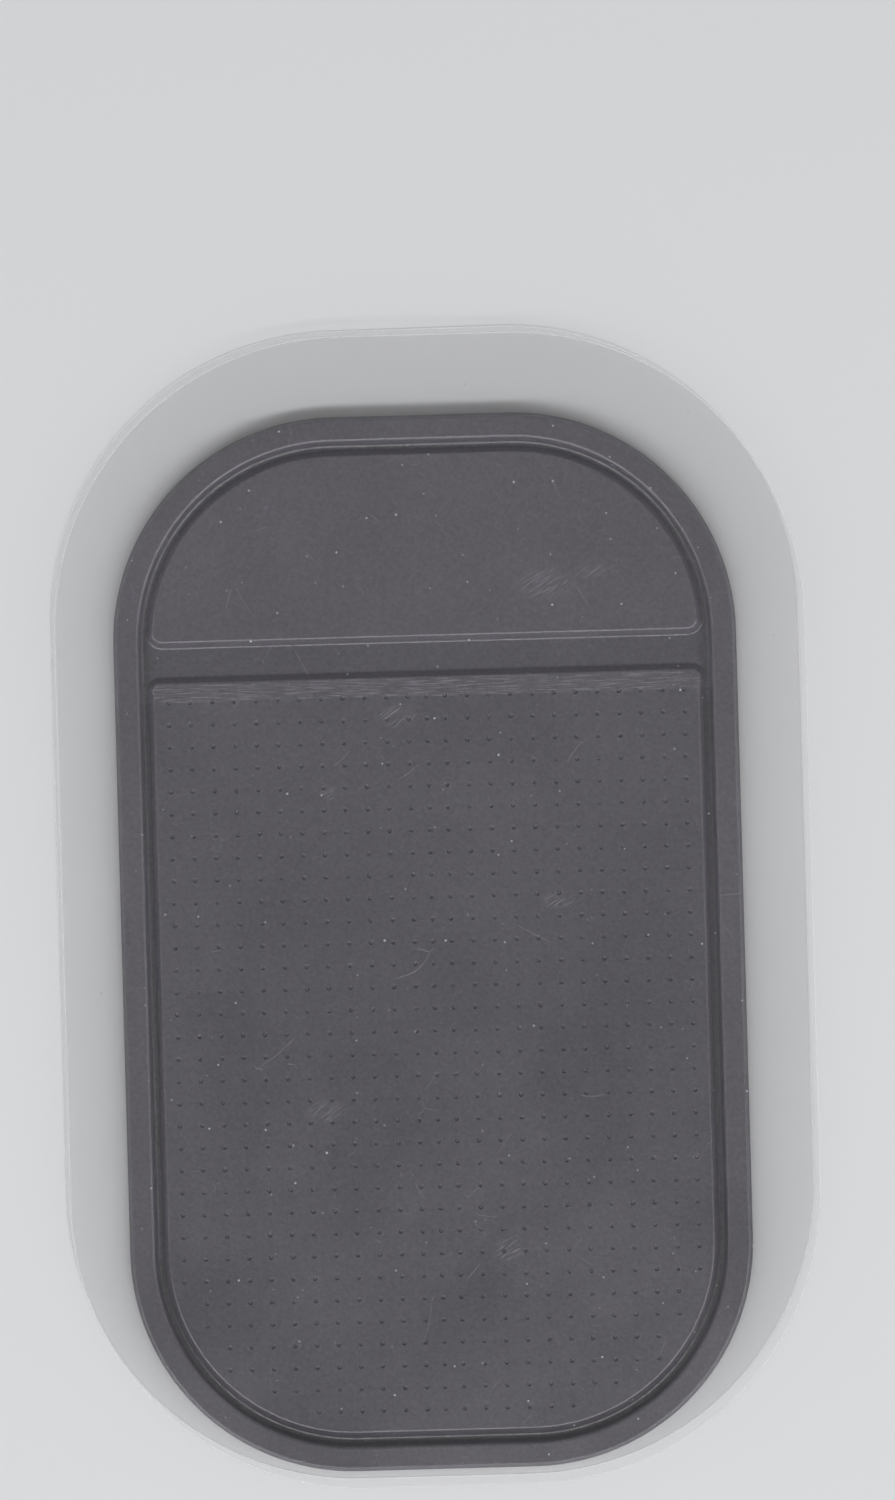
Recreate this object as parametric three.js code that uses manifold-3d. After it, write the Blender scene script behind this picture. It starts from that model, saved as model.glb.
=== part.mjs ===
// A sticky gel bead mat as it is sold: one moulded mat held between two clear peel-off liners.
// Units are millimetres. +Z is up, and +Y points to the end with the plain grip panel.
// The origin is at the middle of the whole, on the underside of the back liner.
import * as THREE from "three";
import { mergeGeometries, mergeVertices } from "three/addons/utils/BufferGeometryUtils.js";
import Module from "manifold-3d";

const wasm = await Module();
wasm.setup();

// Mat outline and section. Heights are above the mat's own underside.
const MAT_WIDTH = 82.55; // 3 1/4 in
const MAT_LENGTH = 139.7; // 5 1/2 in
const MAT_CORNER = 29.5; // outline radius at each corner
const RIM_HEIGHT = 2.5; // the full thickness of the mat
const RIM_WIDTH = 3.25; // from the outer edge to where the inner wall starts
const RIM_WALL_RUN = 0.5; // how far the rim's sloped inner wall runs in
const CHANNEL_HEIGHT = 1.1; // floor of the channel inside the rim
const CHANNEL_WIDTH = 0.65; // flat floor between the rim and the raised pads
const PAD_HEIGHT = 2.1; // top of the raised pads, a little under the rim
const PAD_WALL_RUN = 0.8; // how far a pad's sloped wall runs out
const PANEL_CORNER = 1.2; // panel corners beside the cross channel
const FIELD_CORNER = 0.8; // field corners beside the cross channel, which are sharper
const PAD_ROOT = 0.4; // how deep a pad's foot is joined into the floor
const PANEL_LENGTH = 24.05; // plain grip panel, from its round end to its straight edge
const CROSS_WIDTH = 3.82; // flat floor of the channel between the panel and the field

// Edge rounding, as the distance from the corner where the round starts
const OUTER_EASE = 0.9; // outer top edge
const BASE_EASE = 0.3; // outer bottom edge
const BROW_EASE = 0.3; // tops of the inner walls
const FOOT_EASE = 0.25; // foot of the rim's inner wall

// Dimples pressed into the field
const DIMPLE_RADIUS = 0.4;
const DIMPLE_DEPTH = 0.35;
const PITCH_ACROSS = 2.88; // between columns
const CENTRE_GAP = 2.45; // each side of the middle column, where the columns sit closer
const PITCH_ALONG = 2.95; // between rows
const FIRST_ROW = 2.6; // from the field's straight edge
const DIMPLE_MARGIN = 1.5; // least distance from a dimple's middle to the field's edge

// Clear liners, which stand out past the mat so that they can be gripped and peeled
const LINER_THICKNESS = 0.1;
const SIDE_MARGIN = 8.4; // past each long side of the mat
const GRIP_MARGIN = 11.55; // past the mat's panel end
const FOOT_MARGIN = 1.15; // past the mat's other end
const LINER_CORNER = 38.4; // outline radius at each corner
const REGISTER_ACROSS = 0.7; // how far the front liner is laid out of line with the back one
const REGISTER_ALONG = 0.95;

// Fineness of the facets
const ARC_STEPS = 12;
const EASE_STEPS = 3;
const DIMPLE_SIDES = 4;
const EASE_LIMIT = 0.45; // a round takes at most this share of the run beside it
const LEAST_RADIUS = 0.01;

// Sizes that follow from the ones above
const PAD_INSET = RIM_WIDTH + RIM_WALL_RUN + CHANNEL_WIDTH + PAD_WALL_RUN;
const PANEL_EDGE = MAT_LENGTH / 2 - PAD_INSET - PANEL_LENGTH;
const FIELD_EDGE = PANEL_EDGE - 2 * PAD_WALL_RUN - CROSS_WIDTH;
const LINER_WIDTH = MAT_WIDTH + 2 * SIDE_MARGIN;
const LINER_LENGTH = MAT_LENGTH + GRIP_MARGIN + FOOT_MARGIN;

const MAT = {
  halfWidth: MAT_WIDTH / 2,
  bottom: -MAT_LENGTH / 2,
  top: MAT_LENGTH / 2,
  bottomRadius: MAT_CORNER,
  topRadius: MAT_CORNER,
};
const PANEL = {
  halfWidth: MAT.halfWidth - PAD_INSET,
  bottom: PANEL_EDGE,
  top: MAT.top - PAD_INSET,
  bottomRadius: PANEL_CORNER,
  topRadius: MAT_CORNER - PAD_INSET,
};
const FIELD = {
  halfWidth: MAT.halfWidth - PAD_INSET,
  bottom: MAT.bottom + PAD_INSET,
  top: FIELD_EDGE,
  bottomRadius: MAT_CORNER - PAD_INSET,
  topRadius: FIELD_CORNER,
};
const LINER = {
  halfWidth: LINER_WIDTH / 2,
  bottom: -LINER_LENGTH / 2,
  top: LINER_LENGTH / 2,
  bottomRadius: LINER_CORNER,
  topRadius: LINER_CORNER,
};

function arcPoints(x, y, radius, from, to) {
  return new THREE.EllipseCurve(x, y, radius, radius, from, to).getPoints(ARC_STEPS);
}

// A panel's outline as points, drawn in by an inset, or out where the inset is negative.
// Where a side is too short for both of its arcs, the lower arc sits inside the upper one.
function outline(panel, inset = 0) {
  const side = panel.halfWidth - inset;
  const bottom = panel.bottom + inset;
  const top = panel.top - inset;
  const low = Math.max(panel.bottomRadius - inset, LEAST_RADIUS);
  const high = Math.max(panel.topRadius - inset, LEAST_RADIUS);
  const overlap = bottom + low - (top - high);
  const tilt = overlap > 0 ? Math.asin(overlap / (high - low)) : 0;
  const lowX = side - high + (high - low) * Math.cos(tilt);
  const lower = arcPoints(lowX, bottom + low, low, -Math.PI / 2, tilt);
  const upper = arcPoints(side - high, top - high, high, tilt, Math.PI / 2);
  const right = [...lower, ...upper.slice(overlap > 0 ? 1 : 0)];
  const left = right.map((point) => new THREE.Vector2(-point.x, point.y));
  return [...right, ...left.reverse()];
}

// A section line of (inset, height) points, from corners given as [inset, height, ease]
function easedSection(corners) {
  const points = corners.map(([inset, height]) => new THREE.Vector2(inset, height));
  const towards = (from, to, ease) => {
    const run = to.clone().sub(from);
    return from.clone().add(run.setLength(Math.min(ease, EASE_LIMIT * run.length())));
  };
  return corners.flatMap(([, , ease], i) => {
    if (!ease) return [points[i]];
    const start = towards(points[i], points[i - 1], ease);
    const end = towards(points[i], points[i + 1], ease);
    return new THREE.QuadraticBezierCurve(start, points[i], end).getPoints(EASE_STEPS);
  });
}

// A closed solid whose walls follow the section all the way round the panel's outline
function sweptPanel(panel, section) {
  const rings = section.map((point) => outline(panel, point.x));
  const count = rings[0].length;
  const vertices = rings.flatMap((ring, level) =>
    ring.map((point) => new THREE.Vector3(point.x, point.y, section[level].y)),
  );
  const index = [];
  for (let level = 0; level + 1 < rings.length; level++) {
    for (let i = 0; i < count; i++) {
      const here = level * count + i;
      const next = level * count + ((i + 1) % count);
      index.push(here, next, next + count, here, next + count, here + count);
    }
  }
  const last = (rings.length - 1) * count;
  for (const [a, b, c] of THREE.ShapeUtils.triangulateShape(rings[0], [])) {
    index.push(c, b, a);
  }
  for (const [a, b, c] of THREE.ShapeUtils.triangulateShape(rings.at(-1), [])) {
    index.push(last + a, last + b, last + c);
  }
  return new THREE.BufferGeometry().setFromPoints(vertices).setIndex(index);
}

// The tray: outer edge, rim, the rim's inner wall and the channel floor, as one section
function trayGeometry() {
  const foot = RIM_WIDTH + RIM_WALL_RUN;
  return sweptPanel(
    MAT,
    easedSection([
      [BASE_EASE / EASE_LIMIT, 0],
      [0, 0, BASE_EASE],
      [0, RIM_HEIGHT, OUTER_EASE],
      [RIM_WIDTH, RIM_HEIGHT, BROW_EASE],
      [foot, CHANNEL_HEIGHT, FOOT_EASE],
      [foot + CHANNEL_WIDTH / 2, CHANNEL_HEIGHT],
    ]),
  );
}

// A raised pad, whose sloped wall carries on down into the floor
function padGeometry(panel) {
  const slope = PAD_WALL_RUN / (PAD_HEIGHT - CHANNEL_HEIGHT);
  return sweptPanel(
    panel,
    easedSection([
      [-PAD_WALL_RUN - PAD_ROOT * slope, CHANNEL_HEIGHT - PAD_ROOT],
      [0, PAD_HEIGHT, BROW_EASE],
      [BROW_EASE / EASE_LIMIT, PAD_HEIGHT],
    ]),
  );
}

// Columns from the middle outwards: the first gap is narrower than the rest
function columnPlaces() {
  const places = [0];
  for (let x = CENTRE_GAP; x < FIELD.halfWidth; x += PITCH_ACROSS) {
    places.push(x, -x);
  }
  return places;
}

// Middles of the dimples, row by row, kept where they lie inside the field's rounded outline
function dimplePlaces() {
  const fence = outline(FIELD, DIMPLE_MARGIN);
  const inside = (x, y) =>
    fence.every((from, i) => {
      const to = fence[(i + 1) % fence.length];
      return (to.x - from.x) * (y - from.y) > (to.y - from.y) * (x - from.x);
    });
  const places = [];
  for (let y = FIELD.top - FIRST_ROW; y > FIELD.bottom; y -= PITCH_ALONG) {
    for (const x of columnPlaces()) {
      if (inside(x, y)) places.push([x, y]);
    }
  }
  return places;
}

// Points pressed down into the field, each reaching as far above its top as it goes below
function dimpleGeometry() {
  const point = new THREE.ConeGeometry(2 * DIMPLE_RADIUS, 2 * DIMPLE_DEPTH, DIMPLE_SIDES);
  point.rotateX(-Math.PI / 2);
  return mergeGeometries(
    dimplePlaces().map(([x, y]) => point.clone().translate(x, y, PAD_HEIGHT)),
  );
}

// A closed geometry as a solid that can be joined and cut
function solidOf(geometry) {
  const bare = geometry.clone();
  bare.deleteAttribute("normal");
  bare.deleteAttribute("uv");
  const merged = mergeVertices(bare);
  return new wasm.Manifold(
    new wasm.Mesh({
      numProp: 3,
      vertProperties: merged.attributes.position.array,
      triVerts: new Uint32Array(merged.index.array),
    }),
  );
}

function geometryOf(solid) {
  const { vertProperties, triVerts } = solid.getMesh();
  const geometry = new THREE.BufferGeometry()
    .setAttribute("position", new THREE.BufferAttribute(vertProperties, 3))
    .setIndex(new THREE.BufferAttribute(triVerts, 1));
  geometry.computeVertexNormals();
  return geometry;
}

function matGeometry() {
  return geometryOf(
    solidOf(trayGeometry())
      .add(solidOf(padGeometry(PANEL)))
      .add(solidOf(padGeometry(FIELD)))
      .subtract(solidOf(dimpleGeometry())),
  );
}

function linerGeometry() {
  return new THREE.ExtrudeGeometry(new THREE.Shape(outline(LINER)), {
    depth: LINER_THICKNESS,
    bevelEnabled: false,
  });
}

function gelMaterial() {
  return new THREE.MeshStandardMaterial({ color: 0x5a595f, roughness: 0.45, metalness: 0 });
}

function linerMaterial() {
  return new THREE.MeshStandardMaterial({
    color: 0xf1f3f5,
    roughness: 0.12,
    metalness: 0,
    transparent: true,
    opacity: 0.2,
  });
}

function piece(name, geometry, material, x, y, z) {
  const mesh = new THREE.Mesh(geometry, material);
  mesh.name = name;
  mesh.position.set(x, y, z);
  return mesh;
}

// The two liners share the out-of-line error evenly about the origin. The mat follows the back liner.
const backX = -REGISTER_ACROSS / 2;
const backY = REGISTER_ALONG / 2;
const matY = backY + LINER.top - GRIP_MARGIN - MAT.top;
const matZ = LINER_THICKNESS;

const beadMat = new THREE.Group();
beadMat.add(
  piece("back_liner", linerGeometry(), linerMaterial(), backX, backY, 0),
  piece("gel_mat", matGeometry(), gelMaterial(), backX, matY, matZ),
  piece("front_liner", linerGeometry(), linerMaterial(), -backX, -backY, matZ + RIM_HEIGHT),
);

export default beadMat;
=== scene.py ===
"""A sticky gel bead mat between two clear peel-off liners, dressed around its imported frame.

The frame gives each piece's place and overall size. The mat is swept from rounded sections and
its field is pressed with round dimples. The liners are thin films that wave a little past the mat.
Sizes of the pieces and their finishes are in millimetres, and those of the studio are in metres.
"""

import logging
import math
import random
from dataclasses import dataclass, field, replace
from enum import Enum
from typing import Optional, Sequence, Union

import bpy
import numpy as np
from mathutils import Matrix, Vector, noise
from mathutils.geometry import delaunay_2d_cdt


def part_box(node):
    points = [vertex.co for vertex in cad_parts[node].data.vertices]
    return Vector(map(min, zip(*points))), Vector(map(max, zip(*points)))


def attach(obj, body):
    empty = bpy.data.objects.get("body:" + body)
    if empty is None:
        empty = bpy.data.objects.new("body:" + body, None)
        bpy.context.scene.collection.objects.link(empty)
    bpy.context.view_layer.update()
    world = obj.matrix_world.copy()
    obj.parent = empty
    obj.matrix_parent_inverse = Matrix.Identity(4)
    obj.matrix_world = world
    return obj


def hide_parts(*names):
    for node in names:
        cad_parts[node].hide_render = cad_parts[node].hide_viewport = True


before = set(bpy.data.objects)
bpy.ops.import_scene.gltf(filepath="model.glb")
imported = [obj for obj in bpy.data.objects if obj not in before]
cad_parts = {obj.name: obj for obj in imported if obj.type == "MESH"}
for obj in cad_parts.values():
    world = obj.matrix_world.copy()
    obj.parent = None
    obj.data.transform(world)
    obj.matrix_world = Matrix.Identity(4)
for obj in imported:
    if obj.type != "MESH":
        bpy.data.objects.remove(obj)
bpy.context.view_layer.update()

LOG = logging.getLogger("bead_mat")
MM = 0.001  # a millimetre in metres
QUARTER = math.pi / 2
WELD = 1e-6  # closeness at which two points are taken as one
FILL_INSIDE = 1  # the flat fill's option to keep what lies inside its rim
SEED_STEP = 100  # how far apart two patterns of one texture are read, in millimetres
NOISE_MEAN = 0.5  # what soft noise averages

Colour = tuple[float, float, float]
Span = tuple[float, float]
Key = Union[int, str]
Input = Union[float, Colour, "Value"]


def smooth_step(value: np.ndarray, low: float, high: float) -> np.ndarray:
    """Ramp smoothly from 0 at low to 1 at high.

    Args:
        value: Numbers to place on the ramp.
        low: Where the ramp starts.
        high: Where the ramp ends, which may be below low.

    Returns:
        The ramp's height for each number.
    """
    share = np.clip((value - low) / (high - low), 0, 1)
    return share * share * (3 - 2 * share)


class Value:
    """A shader socket that Python's operators work on."""

    def __init__(self, board: "Board", socket: Optional[bpy.types.NodeSocket]) -> None:
        """Wrap one output socket of a board, or none for a node that ends the tree."""
        self.board = board
        self.socket = socket

    def also(self, output: str) -> "Value":
        """Give another output of the same node."""
        return Value(self.board, self.socket.node.outputs[output])

    def _maths(self, operation: str, first: Input, second: Input) -> "Value":
        """Add one Math node and return its result."""
        return self.board.node("ShaderNodeMath", {"operation": operation}, {0: first, 1: second})

    def __add__(self, other: Input) -> "Value":
        """Add a number or another socket."""
        return self._maths("ADD", self, other)

    def __sub__(self, other: Input) -> "Value":
        """Take away a number or another socket."""
        return self._maths("SUBTRACT", self, other)

    def __rsub__(self, other: Input) -> "Value":
        """Take this socket away from a number."""
        return self._maths("SUBTRACT", other, self)

    def __mul__(self, other: Input) -> "Value":
        """Multiply by a number or another socket."""
        return self._maths("MULTIPLY", self, other)

    def __pow__(self, other: Input) -> "Value":
        """Raise to a power."""
        return self._maths("POWER", self, other)

    __radd__ = __add__
    __rmul__ = __mul__


class Board:
    """A node tree with one way to add any node."""

    def __init__(self, tree: bpy.types.NodeTree) -> None:
        """Start from an empty tree."""
        self.tree = tree
        tree.nodes.clear()

    @staticmethod
    def _socket(sockets: Sequence[bpy.types.NodeSocket], key: Key) -> bpy.types.NodeSocket:
        """Find a socket.

        Args:
            sockets: A node's inputs or outputs.
            key: The socket's place, its identifier or its name.

        Returns:
            The socket.
        """
        if isinstance(key, int):
            return sockets[key]
        for socket in sockets:
            if socket.identifier == key:
                return socket
        return sockets[key]

    def node(
        self,
        kind: str,
        settings: dict[str, object],
        inputs: dict[Key, Input],
        output: Key = 0,
    ) -> Value:
        """Add a node, set it up and link it.

        Args:
            kind: The node's type, as Blender names it.
            settings: The node's own options, set before its sockets.
            inputs: A value or a link for each socket that isn't left as it is.
            output: Which output socket is wanted.

        Returns:
            The wanted output.
        """
        made = self.tree.nodes.new(kind)
        for name, setting in settings.items():
            setattr(made, name, setting)
        for key, given in inputs.items():
            socket = self._socket(made.inputs, key)
            if isinstance(given, Value):
                self.tree.links.new(given.socket, socket)
            elif isinstance(given, tuple) and socket.type == "RGBA":
                socket.default_value = (*given, 1)
            else:
                socket.default_value = given
        return Value(self, self._socket(made.outputs, output) if made.outputs else None)

    def place(self, stretch: Colour = (1, 1, 1), seed: float = 0, turn: float = 0) -> Value:
        """Give the point on the piece in millimetres.

        Args:
            stretch: How many times each axis is drawn out before it reaches a texture.
            seed: How many seed steps away from its own place the point is read.
            turn: How far the point is turned about the vertical first, in degrees.

        Returns:
            The point as a vector.
        """
        spot = self.node("ShaderNodeTexCoord", {}, {}, "Object")
        if turn:
            sockets = {"Vector": spot, "Angle": math.radians(turn)}
            spot = self.node("ShaderNodeVectorRotate", {"rotation_type": "Z_AXIS"}, sockets)
        scale = tuple(share / MM for share in stretch)
        return self.scaled(spot, scale, (SEED_STEP * seed,) * 3)

    def scaled(self, vector: Value, scale: Colour, shift: Union[Colour, Value]) -> Value:
        """Multiply a vector by a scale and add a shift."""
        settings = {"operation": "MULTIPLY_ADD"}
        return self.node("ShaderNodeVectorMath", settings, {0: vector, 1: scale, 2: shift})

    def length(self, vector: Value) -> Value:
        """Give a vector's length."""
        return self.node("ShaderNodeVectorMath", {"operation": "LENGTH"}, {0: vector}, "Value")

    def along(self, axis: str) -> Value:
        """Give one coordinate of the point in millimetres."""
        return self.node("ShaderNodeSeparateXYZ", {}, {0: self.place()}, axis)

    def painted(self, name: str) -> Value:
        """Give a number that is stored on the piece's points."""
        return self.node("ShaderNodeAttribute", {"attribute_name": name}, {}, "Fac")

    def ramp(self, value: Value, low: float, high: float) -> Value:
        """Ramp a value smoothly from 0 at low to 1 at high."""
        sockets = {"Value": value, "From Min": low, "From Max": high}
        return self.node("ShaderNodeMapRange", {"interpolation_type": "SMOOTHSTEP"}, sockets)

    def mix(self, share: Input, first: Input, second: Input) -> Value:
        """Mix two colours.

        Args:
            share: 0 for the first colour and 1 for the second. Past those it goes on beyond them.
            first: The first colour.
            second: The second colour.

        Returns:
            The mixed colour.
        """
        settings = {"data_type": "RGBA", "clamp_factor": False}
        sockets = {"Factor_Float": share, "A_Color": first, "B_Color": second}
        return self.node("ShaderNodeMix", settings, sockets, "Result_Color")

    def total(self, base: float, layers: Sequence[tuple[Value, float]]) -> Input:
        """Add up layers.

        Args:
            base: What the sum starts from.
            layers: Each layer with its strength. One with a strength of 0 is left out.

        Returns:
            The sum.
        """
        made: Input = base
        for layer, strength in layers:
            if strength:
                made = made + strength * layer
        return made


def new_material(name: str) -> tuple[bpy.types.Material, Board]:
    """Make an empty material.

    Args:
        name: The material's name.

    Returns:
        The material, and the board that its nodes go on.
    """
    made = bpy.data.materials.new(name)
    made.use_nodes = True
    return made, Board(made.node_tree)


@dataclass(frozen=True)
class Cloud:
    """Soft noise from 0 to 1."""

    size: float  # how far apart its lumps are
    detail: float  # how many finer layers lie on them
    seed: float  # which of many patterns is taken

    def on(self, board: Board) -> Value:
        """Add the noise to a board."""
        sockets = {"Vector": board.place(seed=self.seed), "Scale": 1 / self.size, "Detail": self.detail}
        return board.node("ShaderNodeTexNoise", {}, sockets)


@dataclass(frozen=True)
class Patches(Cloud):
    """Noise drawn into soft patches: 0 up to its low level, and 1 from its high one."""

    low: float
    high: float

    def on(self, board: Board) -> Value:
        """Add the patches to a board."""
        return board.ramp(super().on(board), self.low, self.high)


@dataclass(frozen=True)
class Rubs:
    """Fine straight scratches that lie side by side: up to 1 on a scratch and 0 elsewhere."""

    gap: float  # rough distance between scratches
    length: float  # how many times longer than the gap a scratch is
    turn: float  # how far they are turned from running across the piece, in degrees
    seed: float
    detail: float = 1.0
    low: float = 0.5  # noise at which a scratch starts
    high: float = 0.66  # noise at which it has its full strength

    def on(self, board: Board) -> Value:
        """Add the scratches to a board.

        Args:
            board: The board that they go on.

        Returns:
            The scratches.
        """
        where = board.place((1 / self.length, 1, 1), self.seed, self.turn)
        sockets = {"Vector": where, "Scale": 1 / self.gap, "Detail": self.detail}
        return board.ramp(board.node("ShaderNodeTexNoise", {}, sockets), self.low, self.high)


@dataclass(frozen=True)
class Specks:
    """Small specks of many sizes, one in some of the cells of a loose pattern."""

    spacing: float  # size of a cell
    radius: float  # radius of the largest speck
    share: float  # share of the cells that hold a speck
    seed: float
    share_soft: float = 0.05  # how soft the limit of that share is
    faintest: float = 0.3  # strength of the faintest speck
    blur_out: float = 0.15  # how far a speck's edge fades outwards, in radii of the largest
    blur_in: float = 0.25  # how far it fades inwards

    def on(self, board: Board) -> Value:
        """Add the specks to a board.

        Args:
            board: The board that they go on.

        Returns:
            Up to 1 on a speck and 0 elsewhere.
        """
        sockets = {"Vector": board.place(seed=self.seed), "Scale": 1 / self.spacing}
        reach = board.node("ShaderNodeTexVoronoi", {"voronoi_dimensions": "2D"}, sockets, "Distance")
        draw = board.node("ShaderNodeSeparateColor", {}, {0: reach.also("Color")})
        kept = board.ramp(draw, self.share, self.share - self.share_soft)
        strength = self.faintest + (1 - self.faintest) * draw.also("Blue")
        largest = self.radius / self.spacing
        past = reach - draw.also("Green") * largest
        return board.ramp(past, self.blur_out * largest, -self.blur_in * largest) * kept * strength


@dataclass(frozen=True)
class Hairlines:
    """Thin bent scratches that come and go."""

    spacing: float  # rough distance between lines
    width: float  # width of a line
    sparse: float  # from 0 to 1, how much of the lines is left out
    seed: float
    core: float = 0.4  # share of the width that has its full strength
    break_size: float = 0.6  # size of a break, as a share of the spacing
    break_soft: float = 0.05  # how softly a line starts again after a break
    break_seed: float = 5  # how far the breaks' pattern is from the lines' own

    def on(self, board: Board) -> Value:
        """Add the scratches to a board.

        Args:
            board: The board that they go on.

        Returns:
            1 on a scratch and 0 elsewhere.
        """
        drift = Cloud(self.spacing, 0, self.seed).on(board).also("Color")
        bent = board.scaled(drift, (self.spacing, self.spacing, 0.0), board.place(seed=self.seed))
        settings = {"voronoi_dimensions": "2D", "feature": "DISTANCE_TO_EDGE"}
        sockets = {"Vector": bent, "Scale": 1 / self.spacing}
        reach = board.node("ShaderNodeTexVoronoi", settings, sockets, "Distance")
        half = self.width / 2 / self.spacing
        line = board.ramp(reach, half, self.core * half)
        breaks = Patches(
            size=self.break_size * self.spacing,
            detail=1,
            seed=self.seed + self.break_seed,
            low=self.sparse,
            high=self.sparse + self.break_soft,
        )
        return line * breaks.on(board)


@dataclass(frozen=True)
class Scuff:
    """A rubbed spot: its middle on the mat, and how far it reaches each way."""

    x: float
    y: float
    across: float
    along: float
    core: float = 0.2  # share of its reach that has its full strength

    def on(self, board: Board, middle: Sequence[float]) -> Value:
        """Add the spot to a board as a soft oval.

        Args:
            board: The board that it goes on.
            middle: Where the mat's middle lies.

        Returns:
            1 in its middle and 0 at its edge.
        """
        x, y = middle[0] + self.x, middle[1] + self.y
        scale = (1 / self.across, 1 / self.along, 0.0)
        shift = (-x / self.across, -y / self.along, 0.0)
        reach = board.length(board.scaled(board.place(), scale, shift))
        return board.ramp(reach, 1, self.core)


@dataclass(frozen=True)
class Effect:
    """What a layer of a finish adds where it shows: to the tone, the roughness and the relief."""

    tone: float = 0.0
    rough: float = 0.0
    relief: float = 0.0


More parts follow.
